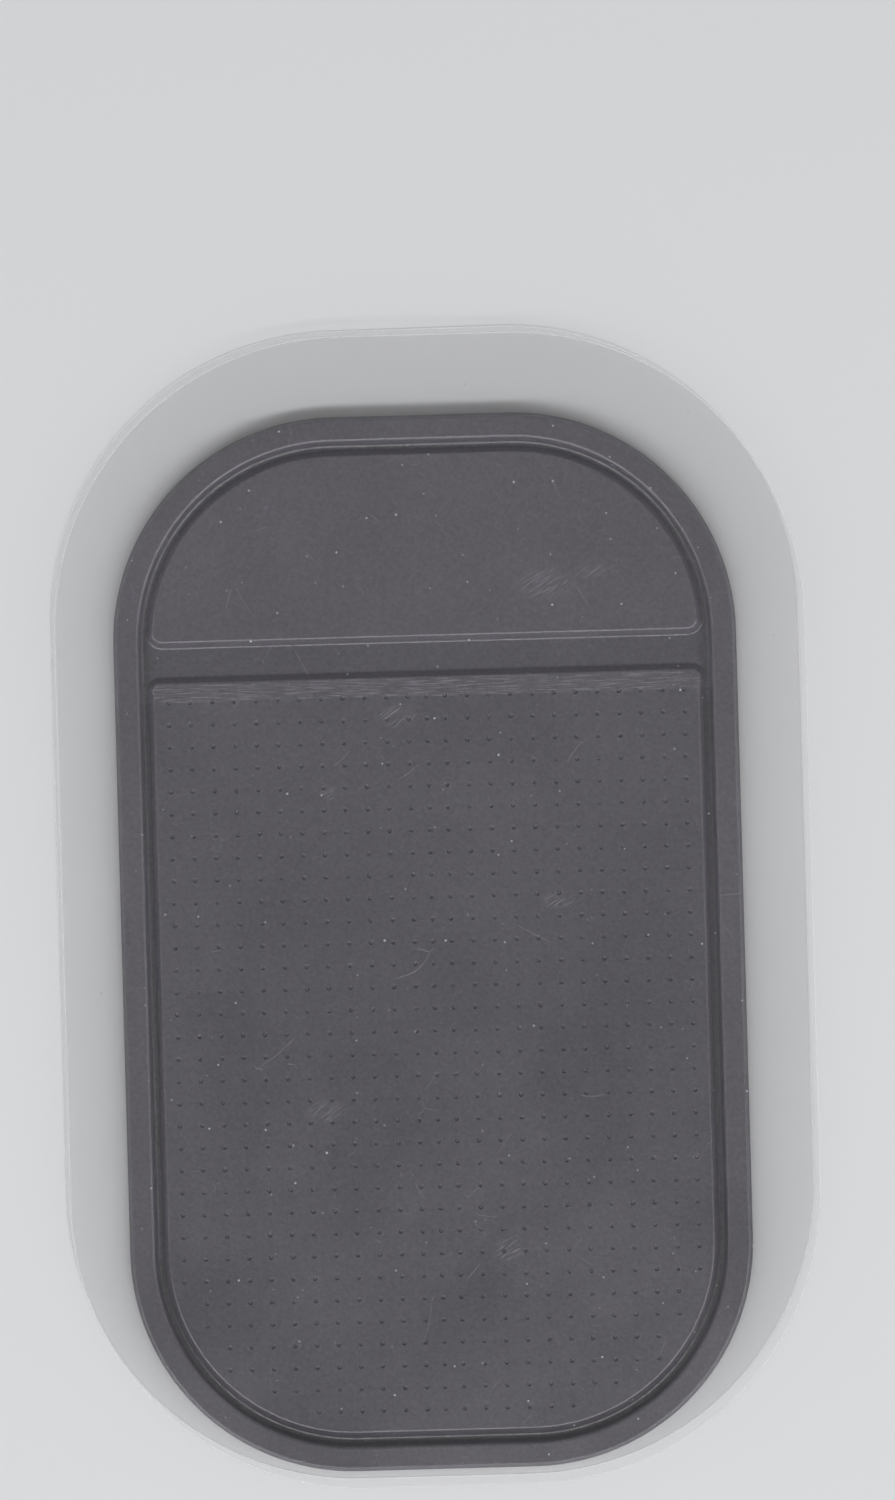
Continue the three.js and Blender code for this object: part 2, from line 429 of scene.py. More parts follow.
@dataclass(frozen=True)
class GelFinish:
    """Soft moulded gel: dark slate grey and satin, with scuffs where it rubs its liner, and painted
    shade and light in its relief.

    Its tone is the deep colour at 0 and the pale one at 1, and each layer shifts it. A span is
    where a layer starts and where it has its full strength.
    """

    deep: Colour = (0.062, 0.0574, 0.0722)
    pale: Colour = (0.132, 0.1235, 0.1495)
    dust: Colour = (0.6, 0.6, 0.61)
    tone: float = 0.5
    roughness: float = 0.37
    specular: float = 1.0
    soak: float = 1.0  # share of the light that soaks in
    soak_reach: float = 0.9
    soak_spread: Colour = (1.0, 1.0, 1.0)  # share of that reach for red, green and blue light
    bump_strength: float = 0.9
    bump_height: float = 0.04
    pad_heights: Span = (2.5, 2.3)  # over the table, from the rim's top down to the pads
    shade_heights: Span = (1.8, 1.4)  # from the pads' walls down to the channels' floor: painted shade, darker lower down the mat
    low_half: Span = (15, 45)  # from the field's straight edge towards its round end
    field_soft: float = 0.4  # how softly the field's deeper tone starts at that edge
    band_reach: float = 2.5  # width of the strip beside that edge where the liner rubs
    band_start: float = 0.3  # how softly the strip starts at the edge
    band_end: float = 0.1  # how softly it ends
    mottle: Cloud = Cloud(size=16, detail=3, seed=1)
    grain: Cloud = Cloud(size=0.4, detail=2, seed=2)
    wet: Patches = Patches(size=15, detail=2, seed=3, low=0.4, high=0.72)
    band_rubs: Rubs = Rubs(gap=0.2, length=16, turn=0, seed=4)
    band_breaks: Patches = Patches(size=4, detail=2, seed=5, low=0.2, high=0.5)
    scratches: Hairlines = Hairlines(spacing=12, width=0.2, sparse=0.6, seed=6)
    specks: Specks = Specks(spacing=4, radius=0.16, share=0.45, seed=7)
    spot_rubs: Rubs = Rubs(gap=0.2, length=12, turn=-35, seed=8)
    spot_breaks: Patches = Patches(size=1.6, detail=1, seed=9, low=0.25, high=0.5)
    spot_strength: float = 1.6
    fluff: Hairlines = Hairlines(spacing=3, width=0.12, sparse=0.62, seed=10)
    fluff_patches: Patches = Patches(size=9, detail=2, seed=12, low=0.5, high=0.6)
    fluff_strength: float = 1.6
    mottle_effect: Effect = Effect(tone=0.3, rough=0.12, relief=4)
    grain_effect: Effect = Effect(tone=1.2, relief=1)
    wet_effect: Effect = Effect(tone=-0.16, rough=-0.03)
    low_half_effect: Effect = Effect(tone=-0.1)
    field_effect: Effect = Effect(tone=-0.19)
    band_effect: Effect = Effect(tone=0.12)
    scuff_effect: Effect = Effect(tone=0.9, rough=0.16, relief=0.6)
    scratch_effect: Effect = Effect(tone=0.5, relief=-0.5)
    # painted shade that darkens the gel lower down, as in its channels
    recess_shade_effect: Effect = Effect(tone=-0.24)
    # painted shade in the channels and low on the outer edge, painted light on sideways inner walls
    painted_shading_effect: Effect = Effect(tone=-0.36)
    speck_effect: Effect = Effect(relief=0.5)
    scuffs: tuple[Scuff, ...] = (
        Scuff(16, 47, 4.8, 3),
        Scuff(23, 48.5, 4, 1.2),
        Scuff(-4, 30, 3.4, 2),
        Scuff(16.5, 5, 3, 1.4),
        Scuff(-13, 20, 2, 1.2),
        Scuff(-15, -22, 3.2, 1.8),
        Scuff(9, -41, 2.4, 2.2),
    )

    def _band(self, board: Board, along: Value, edge: float) -> Value:
        """Give the strip where the liner rubs.

        Args:
            board: The board that it goes on.
            along: The place along the mat.
            edge: Where along the mat the field's straight edge lies.

        Returns:
            1 on the strip and 0 elsewhere.
        """
        end = edge - self.band_reach
        near = board.ramp(along, edge, edge - self.band_start)
        return near * board.ramp(along, end - self.band_end, end)

    def _spots(self, board: Board, middle: Sequence[float]) -> Value:
        """Give the rubbed spots as fine strokes that come and go.

        Args:
            board: The board that they go on.
            middle: Where the mat's middle lies.

        Returns:
            Up to 1 on a stroke and 0 elsewhere.
        """
        spots = [scuff.on(board, middle) for scuff in self.scuffs]
        return sum(spots[1:], spots[0]) * self.spot_rubs.on(board) * self.spot_breaks.on(board)

    def _layers(self, board: Board, middle: Sequence[float], edge: float) -> list[tuple[Value, Effect]]:
        """Give every layer but the specks.

        Args:
            board: The board that they go on.
            middle: Where the mat's middle lies.
            edge: Where along the mat the field's straight edge lies.

        Returns:
            Where each layer shows, with what it adds there.
        """
        height, along = board.along("Z"), board.along("Y")
        pads = board.ramp(height, *self.pad_heights)
        field_part = board.ramp(along, edge + self.field_soft, edge - self.field_soft) * pads
        low_half = board.ramp(along, edge - self.low_half[0], edge - self.low_half[1])
        band = self._band(board, along, edge) * pads
        scuff = band * self.band_rubs.on(board) * self.band_breaks.on(board)
        scuff = scuff + self.spot_strength * self._spots(board, middle)
        fluff = self.fluff.on(board) * self.fluff_patches.on(board)
        return [
            (self.mottle.on(board) - NOISE_MEAN, self.mottle_effect),
            (self.grain.on(board) - NOISE_MEAN, self.grain_effect),
            (self.wet.on(board) * low_half, self.wet_effect),
            (low_half, self.low_half_effect),
            (field_part, self.field_effect),
            (band, self.band_effect),
            (scuff, self.scuff_effect),
            (self.scratches.on(board) + self.fluff_strength * fluff, self.scratch_effect),
            # painted shade that darkens the gel lower down, as in its channels
            (board.ramp(height, *self.shade_heights), self.recess_shade_effect),
            # painted shade in the channels and low on the outer edge, painted light on sideways inner
            # walls
            (board.painted("painted_shading_share"), self.painted_shading_effect),
        ]

    def material(self, middle: Sequence[float], edge: float) -> bpy.types.Material:
        """Make the gel.

        Args:
            middle: Where the mat's middle lies.
            edge: Where along the mat the field's straight edge lies.

        Returns:
            The material.
        """
        made, board = new_material("grey_gel")
        speck = self.specks.on(board)
        layers = [*self._layers(board, middle, edge), (speck, self.speck_effect)]
        tone = board.total(self.tone, [(layer, effect.tone) for layer, effect in layers])
        rough = board.total(self.roughness, [(layer, effect.rough) for layer, effect in layers])
        relief = board.total(0, [(layer, effect.relief) for layer, effect in layers])
        colour = board.mix(speck, board.mix(tone, self.deep, self.pale), self.dust)
        sockets = {"Strength": self.bump_strength, "Distance": self.bump_height * MM, "Height": relief}
        shader = board.node(
            "ShaderNodeBsdfPrincipled",
            {},
            {
                "Base Color": colour,
                "Roughness": rough,
                "Specular IOR Level": self.specular,
                "Subsurface Weight": self.soak,
                "Subsurface Radius": self.soak_spread,
                "Subsurface Scale": self.soak_reach * MM,
                "Normal": board.node("ShaderNodeBump", {}, sockets),
            },
        )
        board.node("ShaderNodeOutputMaterial", {}, {"Surface": shader})
        return made


@dataclass(frozen=True)
class FilmFinish:
    """Clear glossy film with a little dust, and a painted glint: a pale hazy line along its cut edge."""

    grey: Colour = (0.2, 0.203, 0.21)
    # colour of the dust, and of the painted glint on the cut edge
    bright: Colour = (0.8, 0.81, 0.83)
    haze: float = 0.002
    smear_haze: float = 0.003
    dust_haze: float = 0.8
    # painted highlight: how pale and hazy the cut edge is drawn
    edge_glint: float = 0.34
    bright_haze: float = 0.1  # haze of a mark at which it is fully bright
    haze_roughness: float = 0.5
    roughness: float = 0.09
    smear_roughness: float = 0.08
    shine: float = 0.035  # share of the light that is mirrored, seen square on
    shine_power: float = 5  # how steeply that share rises towards a grazing view
    dust: Specks = Specks(spacing=5, radius=0.12, share=0.2, seed=0)
    smear: Patches = Patches(size=22, detail=3, seed=2, low=0.45, high=0.75)

    def material(self, name: str, seed: float) -> bpy.types.Material:
        """Make the film.

        Args:
            name: The material's name.
            seed: Which pattern of dust and smears it has.

        Returns:
            The material.
        """
        made, board = new_material(name)
        dust = replace(self.dust, seed=self.dust.seed + seed).on(board)
        smear = replace(self.smear, seed=self.smear.seed + seed).on(board)
        # dust, and a painted glint along the cut edge
        dust_and_glint = self.dust_haze * dust + self.edge_glint * board.painted("edge")
        colour = board.mix(board.ramp(dust_and_glint, 0, self.bright_haze), self.grey, self.bright)
        sockets = {"Base Color": colour, "Roughness": self.haze_roughness}
        hazy = board.node("ShaderNodeBsdfPrincipled", {}, sockets)
        clear = board.node("ShaderNodeBsdfTransparent", {}, {})
        cover = self.haze + self.smear_haze * smear + dust_and_glint
        body = board.node("ShaderNodeMixShader", {}, {0: cover, 1: clear, 2: hazy})
        rough = self.roughness + self.smear_roughness * smear
        gloss = board.node("ShaderNodeBsdfGlossy", {}, {"Roughness": rough})
        slant = board.node("ShaderNodeLayerWeight", {}, {}, "Facing")
        shine = self.shine + (1 - self.shine) * slant**self.shine_power
        shader = board.node("ShaderNodeMixShader", {}, {0: shine, 1: body, 2: gloss})
        board.node("ShaderNodeOutputMaterial", {}, {"Surface": shader})
        return made


@dataclass(frozen=True)
class Outline:
    """A panel with straight sides and round corners, symmetric about its long middle line.

    Where a side is too short for both of its arcs, the lower arc sits inside the upper one.
    """

    half_width: float
    bottom: float
    top: float
    bottom_radius: float
    top_radius: float
    spacing: float = 1.6  # rough distance between points
    least_steps: int = 8  # least steps of an arc
    least_radius: float = 0.016

    def _arc(self, x: float, y: float, radius: float, start: float, end: float) -> np.ndarray:
        """Give the stations of one arc.

        Args:
            x: Its centre across.
            y: Its centre along.
            radius: Its radius.
            start: The direction that it starts in.
            end: The direction that it ends in.

        Returns:
            Rows of centre x, centre y, radius and direction.
        """
        steps = max(self.least_steps, round(radius * abs(end - start) / self.spacing))
        turn = np.linspace(start, end, steps + 1)
        ones = np.ones_like(turn)
        return np.column_stack([x * ones, y * ones, radius * ones, turn])

    def _straight(self, start: np.ndarray, end: np.ndarray) -> np.ndarray:
        """Give the stations between two arcs that face the same way.

        Args:
            start: The last station of one arc.
            end: The first station of the next.

        Returns:
            Rows as the arcs have, without the arcs' own ends.
        """
        steps = max(1, round(float(np.hypot(*(end - start)[:2])) / self.spacing))
        share = np.arange(1, steps)[:, None] / steps
        between = start + (end - start) * share
        between[:, 3] = start[3]
        return between

    def stations(self) -> np.ndarray:
        """Give the whole outline, counter-clockwise from its lower right corner.

        Returns:
            Rows of an arc's centre x and y, its radius, and the direction out from its centre.
        """
        low, high = self.bottom_radius, self.top_radius
        overlap = self.bottom + low - (self.top - high)
        tilt = math.asin(overlap / (high - low)) if overlap > 0 else 0.0
        low_x = self.half_width - high + (high - low) * math.cos(tilt)
        lower = self._arc(low_x, self.bottom + low, low, -QUARTER, tilt)
        upper = self._arc(self.half_width - high, self.top - high, high, tilt, QUARTER)
        side = upper[:0] if overlap > 0 else self._straight(lower[-1], upper[0])
        right = np.vstack([lower, side, upper[1:] if overlap > 0 else upper])
        left = right[::-1] * [-1, 1, 1, -1] + [0, 0, 0, math.pi]
        top, bottom = self._straight(right[-1], left[0]), self._straight(left[-1], right[0])
        return np.vstack([right, top, left, bottom])

    def ring(self, inset: float) -> np.ndarray:
        """Give the outline's points.

        Args:
            inset: How far they are drawn in.

        Returns:
            Flat places, one for each station.
        """
        x, y, radius, turn = self.stations().T
        reach = radius - inset
        return np.column_stack([x + reach * np.cos(turn), y + reach * np.sin(turn)])

    def drawn_in(self, inset: float) -> "Outline":
        """Give the outline a little smaller.

        Args:
            inset: How far it is drawn in.

        Returns:
            The outline, with its corners left sharp where they run out.
        """
        low = max(self.bottom_radius - inset, self.least_radius)
        high = max(self.top_radius - inset, self.least_radius)
        return Outline(self.half_width - inset, self.bottom + inset, self.top - inset, low, high)

    def holds(self, points: np.ndarray, inset: float) -> np.ndarray:
        """Tell which points lie inside the outline.

        Args:
            points: Flat places.
            inset: How far the outline is drawn in first.

        Returns:
            True or False for each point.
        """
        fence = self.drawn_in(inset).ring(0)
        run = np.roll(fence, -1, axis=0) - fence
        away = points[:, None, :] - fence[None, :, :]
        return np.all(run[:, 0] * away[:, :, 1] > run[:, 1] * away[:, :, 0], axis=1)

    def grid(self, step: float, inset: float) -> np.ndarray:
        """Give an even grid of points inside the outline.

        Args:
            step: Distance between the points.
            inset: How far the points keep from the outline.

        Returns:
            The points.
        """
        across = np.arange(-self.half_width, self.half_width, step) + step / 2
        along = np.arange(self.bottom, self.top, step) + step / 2
        points = np.array(np.meshgrid(across, along)).reshape(2, -1).T
        return points[self.holds(points, inset)]

    def _past(self, points: np.ndarray) -> np.ndarray:
        """Give how far points lie past the centres of four equal corners.

        Args:
            points: Flat places.

        Returns:
            Rows of how far across and how far along, below 0 where they lie short of them.
        """
        middle = np.array([0, (self.bottom + self.top) / 2])
        half = np.array([self.half_width, (self.top - self.bottom) / 2]) - self.top_radius
        return np.abs(points - middle) - half

    def beyond(self, points: np.ndarray) -> np.ndarray:
        """Give how far points lie outside the outline, for one with four equal corners."""
        past = self._past(points)
        return np.hypot(*np.maximum(past, 0).T) + np.minimum(past.max(axis=1), 0) - self.top_radius

    def sideways(self, points: np.ndarray) -> np.ndarray:
        """Give how far the nearest edge faces sideways, from 0 to 1, for four equal corners."""
        past = np.maximum(self._past(points), 0) ** 2
        return past[:, 0] / np.maximum(past.sum(axis=1), WELD)


@dataclass(frozen=True)
class Corner:
    """A corner of a section: how far in it lies, how high, and the radius that rounds it."""

    inset: float
    height: float
    radius: float = 0.0


@dataclass
class Section:
    """A section line through corners, with true round fillets and the way its surface faces."""

    corners: list[Corner]
    step: float = math.radians(11)  # most that one step of a fillet turns
    insets: np.ndarray = field(init=False)
    heights: np.ndarray = field(init=False)
    facing: np.ndarray = field(init=False)

    def __post_init__(self) -> None:
        """Work out the line's points and the direction that its surface faces at each."""
        spots = np.array([[corner.inset, corner.height] for corner in self.corners])
        runs = np.diff(spots, axis=0)
        runs /= np.linalg.norm(runs, axis=1)[:, None]
        points, normals = [spots[0]], [self._left(runs[0])]
        for index in range(1, len(spots) - 1):
            here, into, out = spots[index], runs[index - 1], runs[index]
            turn = math.atan2(into[0] * out[1] - into[1] * out[0], into @ out)
            radius = self.corners[index].radius
            start = here - into * radius * math.tan(abs(turn) / 2)
            side = math.copysign(1, turn)
            centre = start + self._left(into) * radius * side
            steps = max(1, math.ceil(abs(turn) / self.step))
            for share in np.linspace(0, 1, steps + 1):
                normal = self._turned(self._left(into), share * turn)
                points.append(centre - normal * radius * side)
                normals.append(normal)
        points.append(spots[-1])
        normals.append(self._left(runs[-1]))
        self.insets, self.heights = np.array(points).T
        self.facing = np.array(normals)

    @staticmethod
    def _left(run: np.ndarray) -> np.ndarray:
        """Turn a direction a quarter to the left, which is where the surface faces."""
        return np.array([-run[1], run[0]])

    @staticmethod
    def _turned(run: np.ndarray, angle: float) -> np.ndarray:
        """Turn a direction by an angle."""
        c, s = math.cos(angle), math.sin(angle)
        return np.array([c * run[0] - s * run[1], s * run[0] + c * run[1]])


class Skin:
    """A closed mesh in the making: its points, the way each faces, and its faces."""

    def __init__(self) -> None:
        """Start with nothing."""
        self.points = np.empty((0, 3))
        self.facing = np.empty((0, 3))
        self.faces: list[tuple[int, ...]] = []

    def add(self, points: np.ndarray, facing: np.ndarray) -> np.ndarray:
        """Add points.

        Args:
            points: Their places.
            facing: The way that the surface faces at each.

        Returns:
            Their numbers.
        """
        first = len(self.points)
        self.points = np.vstack([self.points, points])
        self.facing = np.vstack([self.facing, facing])
        return np.arange(first, len(self.points))

    def bridge(self, near: np.ndarray, far: np.ndarray) -> None:
        """Join two rings of as many points with a band of faces."""
        ahead, beyond = np.roll(near, -1), np.roll(far, -1)
        self.faces += list(zip(near.tolist(), ahead.tolist(), beyond.tolist(), far.tolist()))

    def sweep(self, outline: Outline, section: Section) -> list[np.ndarray]:
        """Carry a section round an outline.

        Args:
            outline: The line that the section follows.
            section: The section, read from its first corner to its last.

        Returns:
            The rings of points, one for each point of the section.
        """
        turn = outline.stations()[:, 3]
        way = np.column_stack([np.cos(turn), np.sin(turn)])
        level = np.ones(len(turn))
        rings = []
        for inset, height, (inward, up) in zip(section.insets, section.heights, section.facing):
            points = np.column_stack([outline.ring(inset), height * level])
            rings.append(self.add(points, np.column_stack([-inward * way, up * level])))
        for near, far in zip(rings, rings[1:]):
            self.bridge(near, far)
        return rings

    def fill(self, rim: np.ndarray, holes: Sequence[np.ndarray], inner: np.ndarray, up: int) -> None:
        """Fill a flat area.

        Args:
            rim: The ring of points round it.
            holes: Rings of points that stay open, each one convex.
            inner: Flat places for more points, clear of the holes.
            up: 1 if the area faces up, and -1 if it faces down.
        """
        level = np.full(len(inner), self.points[rim[0], 2])
        added = self.add(np.column_stack([inner, level]), np.tile([0, 0, up], (len(inner), 1)))
        groups = [rim, *holes, added]
        numbers = np.concatenate(groups)
        owners = np.concatenate([np.full(len(group), index) for index, group in enumerate(groups)])
        edges, first = [], 0
        for loop in groups[:-1]:
            edges += [(first + i, first + (i + 1) % len(loop)) for i in range(len(loop))]
            first += len(loop)
        spots = [Vector(self.points[number, :2]) for number in numbers]
        _, _, triangles, origins, _, _ = delaunay_2d_cdt(spots, edges, [], FILL_INSIDE, WELD)
        for triangle in triangles:
            corners = [origins[corner][0] for corner in triangle]
            owner = set(owners[corners])
            if len(owner) == 1 and 0 < owner.pop() <= len(holes):
                continue
            face = [int(numbers[corner]) for corner in corners]
            self.faces.append(tuple(face if self._turns_left(face) == (up > 0) else face[::-1]))

    def _turns_left(self, face: Sequence[int]) -> bool:
        """Tell whether a triangle runs counter-clockwise, seen from above."""
        a, b, c = self.points[list(face), :2]
        return (b[0] - a[0]) * (c[1] - a[1]) > (b[1] - a[1]) * (c[0] - a[0])

    def piece(
        self,
        name: str,
        offset: Sequence[float],
        material: bpy.types.Material,
    ) -> bpy.types.Object:
        """Make the mesh a Blender object.

        Args:
            name: The object's name.
            offset: How far the mesh is moved.
            material: What it is made of.

        Returns:
            The object, which sits at the origin.
        """
        mesh = bpy.data.meshes.new(name)
        mesh.from_pydata(((self.points + offset) * MM).tolist(), [], self.faces)
        mesh.shade_smooth()
        lengths = np.linalg.norm(self.facing, axis=1)[:, None]
        mesh.normals_split_custom_set_from_vertices((self.facing / lengths).tolist())
        mesh.materials.append(material)
        made = bpy.data.objects.new(name, mesh)
        bpy.context.scene.collection.objects.link(made)
        return made

    @staticmethod
    def paint(piece: bpy.types.Object, name: str, values: np.ndarray) -> None:
        """Store a number on each point of a piece, for its material to read."""
        layer = piece.data.attributes.new(name, "FLOAT", "POINT")
        layer.data.foreach_set("value", values.astype(np.float32))


@dataclass
class Dimples:
    """The rows of small round dimples pressed into the field."""

    radius: float = 0.5  # out to the flat ring round a dimple
    lip: float = 0.2  # width of that ring
    wall_run: float = 0.12
    depth: float = 0.2
    lip_round: float = 0.1
    floor_round: float = 0.1
    tip: float = 0.05  # radius of the last ring on the floor
    pitch_across: float = 2.88
    centre_gap: float = 2.45  # from the middle column to the columns beside it
    pitch_along: float = 2.95
    first_row: float = 2.6  # from the field's straight edge
    margin: float = 1.5  # least distance to the field's edge
    sides: int = 10  # points round a dimple
    step: float = math.radians(70)  # most that one step of its fillets turns
    unevenness: float = 0.16  # how far a dimple's depth may differ, as a share
    seed: int = 11

    def _section(self) -> Section:
        """Give the section of one dimple.

        Returns:
            The section, from the field around the dimple to near its middle.
        """
        return Section(
            [
                Corner(0, 0),
                Corner(self.lip, 0, self.lip_round),
                Corner(self.lip + self.wall_run, -self.depth, self.floor_round),
                Corner(self.radius - self.tip, -self.depth),
            ],
            self.step,
        )

    def places(self, area: Outline) -> np.ndarray:
        """Give the dimples' middles.

        Args:
            area: The field that they lie in.

        Returns:
            Their places, with columns from the middle out and rows from the straight edge.
        """
        across = [0.0]
        while across[-1] < area.half_width:
            across.append(self.centre_gap + self.pitch_across * (len(across) - 1))
        columns = sorted([-x for x in across[1:]] + across)
        rows = np.arange(area.top - self.first_row, area.bottom, -self.pitch_along)
        points = np.array([(x, y) for y in rows for x in columns])
        return points[area.holds(points, self.margin)]

    def press(self, skin: Skin, area: Outline, level: float) -> list[np.ndarray]:
        """Add every dimple to a skin.

        Args:
            skin: The skin that takes them.
            area: The field that they lie in.
            level: Height of the field's top.

        Returns:
            Each dimple's lip, as a ring of points at that height.
        """
        draw = random.Random(self.seed)
        section = self._section()
        turn = np.linspace(0, 2 * math.pi, self.sides, endpoint=False)
        way = np.column_stack([np.cos(turn), np.sin(turn)])
        lips = []
        for middle in self.places(area):
            share = 1 + self.unevenness * draw.uniform(-1, 1)
            rings = []
            for inset, height, (inward, up) in zip(section.insets, section.heights, section.facing):
                flat = middle + way * (self.radius - inset)
                points = np.column_stack([flat, np.full(self.sides, level + share * height)])
                rings.append(skin.add(points, np.column_stack([-inward * way, np.full(self.sides, up)])))
            for near, far in zip(rings, rings[1:]):
                skin.bridge(near, far)
            bottom = np.array([[*middle, level - share * self.depth]])
            tip = int(skin.add(bottom, np.array([[0, 0, 1]]))[0])
            last = rings[-1].tolist()
            skin.faces += [(last[i - 1], last[i], tip) for i in range(self.sides)]
            lips.append(rings[0])
        return lips


@dataclass(frozen=True)
class PaintedShading:
    """Painted shade in the mat's channels and low on its outer edge, and painted light on inner walls
    that face sideways.
    """

    floor_soft: float = 0.12  # height over the channel's floor at which its painted shade ends
    side_gain: float = 0.3  # how much more painted shade the floor has along the mat's sides
    lee: float = 0.45  # how much less it is there beside the pads
    lee_start: float = 0.3  # share of the channel's width at which that starts
    wall: float = 0.8  # how much painted light a rim's wall that faces sideways gets
    pad_gain: float = 0.4  # how much more painted light a pad's wall gets
    wall_fade: float = 1.0  # how far in past the pads' edge that fades away
    edge: float = 1.2  # painted shade low on the outer edge
    edge_drop: Span = (0.05, 0.6)  # how far under the rim's top it starts, and is full
    underside: float = -0.5  # a surface that faces further down than this has no painted shade or light

    def shares(self, mat: "GelMat", skin: Skin) -> np.ndarray:
        """Give each point's painted shade and light.

        Args:
            mat: The mat, for its sizes.
            skin: The mat's whole skin.

        Returns:
            A number for each point: about 1 where shade is painted, 0 on the open faces, and below 0
            on the inner walls that face sideways, where light is painted.
        """
        flat, height = skin.points[:, :2], skin.points[:, 2]
        inset = -mat.outline.beyond(flat)
        foot = mat.rim_width + mat.rim_wall_run
        bank = foot + mat.channel_width
        floor = smooth_step(height, mat.channel_height + self.floor_soft, mat.channel_height)
        floor *= smooth_step(inset, mat.pad_inset, bank)
        lee = self.lee * smooth_step(inset, foot + self.lee_start * mat.channel_width, bank)
        floor *= 1 + (self.side_gain - lee) * mat.outline.sideways(flat)
        wall = self.wall + self.pad_gain * smooth_step(inset, foot, bank)
        wall *= smooth_step(inset, mat.pad_inset + self.wall_fade, mat.pad_inset)
        wall *= skin.facing[:, 0] ** 2
        start, full = (mat.height - drop for drop in self.edge_drop)
        edge = self.edge * smooth_step(height, start, full)
        painted_shading = np.where(inset < mat.rim_width, edge, floor - wall)
        return painted_shading * (skin.facing[:, 2] > self.underside)


@dataclass
class GelMat:
    """The moulded mat: a rim, a channel inside it, a plain grip panel and a dimpled field."""

    corner: float = 29.5  # radius of the mat's corners
    rim_width: float = 3.25
    rim_wall_run: float = 0.5  # how far in the rim's wall slopes
    channel_height: float = 1.3  # of its floor, over the mat's underside
    channel_width: float = 0.65  # of its flat floor
    channel_split: float = 0.6  # share of the channel's width that the rim's section takes
    pad_height: float = 2.1  # over the mat's underside
    pad_wall_run: float = 0.8  # how far in a pad's wall slopes
    pad_foot: float = 0.35  # share of the channel's width that a pad's section takes
    pad_flat: float = 0.294  # how far a pad's section runs in on its flat top
    panel_corner: float = 1.2
    field_corner: float = 0.8
    panel_length: float = 24.05
    cross_width: float = 3.82  # of the cross channel's flat floor
    outer_height: float = 1.45  # where the outer edge starts to lean in
    outer_draft: float = 0.5  # how far in it leans, and how softly it starts to
    outer_round: float = 0.22
    base_round: float = 0.25
    brow_round: float = 0.5
    foot_round: float = 0.55
    pad_round: float = 0.42
    pad_foot_round: float = 0.52
    base_flat: float = 1.2  # how far in the rim's section runs on the underside
    grid_step: float = 2.9
    dimples: Dimples = field(default_factory=Dimples)
    # painted shade and light, stored on the points for the gel to read
    painted_shading: PaintedShading = PaintedShading()
    offset: np.ndarray = field(init=False)
    height: float = field(init=False)
    field_edge: float = field(init=False)
    outline: Outline = field(init=False)
    panel: Outline = field(init=False)
    dimpled: Outline = field(init=False)

    def __post_init__(self) -> None:
        """Take the overall size and place from the frame."""
        low, high = (np.array(corner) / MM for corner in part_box("gel_mat"))
        width, length, self.height = high - low
        self.offset = np.array([*(low + high)[:2] / 2, low[2]])
        half, end, inset = width / 2, length / 2, self.pad_inset
        panel_edge = end - inset - self.panel_length
        self.field_edge = panel_edge - 2 * self.pad_wall_run - self.cross_width
        round_end = self.corner - inset
        self.outline = Outline(half, -end, end, self.corner, self.corner)
        self.panel = Outline(half - inset, panel_edge, end - inset, self.panel_corner, round_end)
        self.dimpled = Outline(half - inset, inset - end, self.field_edge, round_end, self.field_corner)

    @property
    def pad_inset(self) -> float:
        """How far the pads' top edges lie inside the mat's outer edge."""
        return self.rim_width + self.rim_wall_run + self.channel_width + self.pad_wall_run

    def _tray(self) -> Section:
        """Give the section of the rim.

        Returns:
            The section, from the underside over the outer edge and the rim to the channel floor.
        """
        foot = self.rim_width + self.rim_wall_run
        return Section(
            [
                Corner(self.base_flat, 0),
                Corner(0, 0, self.base_round),
                Corner(0, self.outer_height, self.outer_draft),
                Corner(self.outer_draft, self.height, self.outer_round),
                Corner(self.rim_width, self.height, self.brow_round),
                Corner(foot, self.channel_height, self.foot_round),
                Corner(foot + self.channel_split * self.channel_width, self.channel_height),
            ]
        )

    def _pad(self) -> Section:
        """Give the section of a pad.

        Returns:
            The section, from the channel floor to the pad's flat top.
        """
        return Section(
            [
                Corner(-self.pad_wall_run - self.pad_foot * self.channel_width, self.channel_height),
                Corner(-self.pad_wall_run, self.channel_height, self.pad_foot_round),
                Corner(0, self.pad_height, self.pad_round),
                Corner(self.pad_flat, self.pad_height),
            ]
        )

    def _cross_points(self) -> np.ndarray:
        """Give points along the floor of the cross channel.

        Returns:
            Flat places, half a channel's width apart.
        """
        middle = (self.dimpled.top + self.panel.bottom) / 2
        across = np.arange(-self.panel.half_width, self.panel.half_width, self.cross_width / 2)
        return np.column_stack([across + self.cross_width / 4, np.full(len(across), middle)])

    def build(self, finish: GelFinish) -> bpy.types.Object:
        """Build the mat and dress it.

        Args:
            finish: What it is made of.

        Returns:
            The mat, riding on its body.
        """
        skin = Skin()
        tray = skin.sweep(self.outline, self._tray())
        panel = skin.sweep(self.panel, self._pad())
        area = skin.sweep(self.dimpled, self._pad())
        lips = self.dimples.press(skin, self.dimpled, self.pad_height)
        LOG.info("dimples in the field: %d", len(lips))
        skin.fill(tray[0], [], self.outline.grid(self.grid_step, 2 * self.base_flat), -1)
        skin.fill(tray[-1], [panel[0], area[0]], self._cross_points(), 1)
        skin.fill(panel[-1], [], self.panel.grid(self.grid_step, self.panel_corner), 1)
        skin.fill(area[-1], lips, np.empty((0, 2)), 1)
        material = finish.material(self.offset, self.field_edge + self.offset[1])
        made = skin.piece("bead_mat_gel", self.offset, material)
        # paints shade into the channels and low on the outer edge, and light onto sideways inner walls
        skin.paint(made, "painted_shading_share", self.painted_shading.shares(self, skin))
        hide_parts("gel_mat")
        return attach(made, "gel_mat")


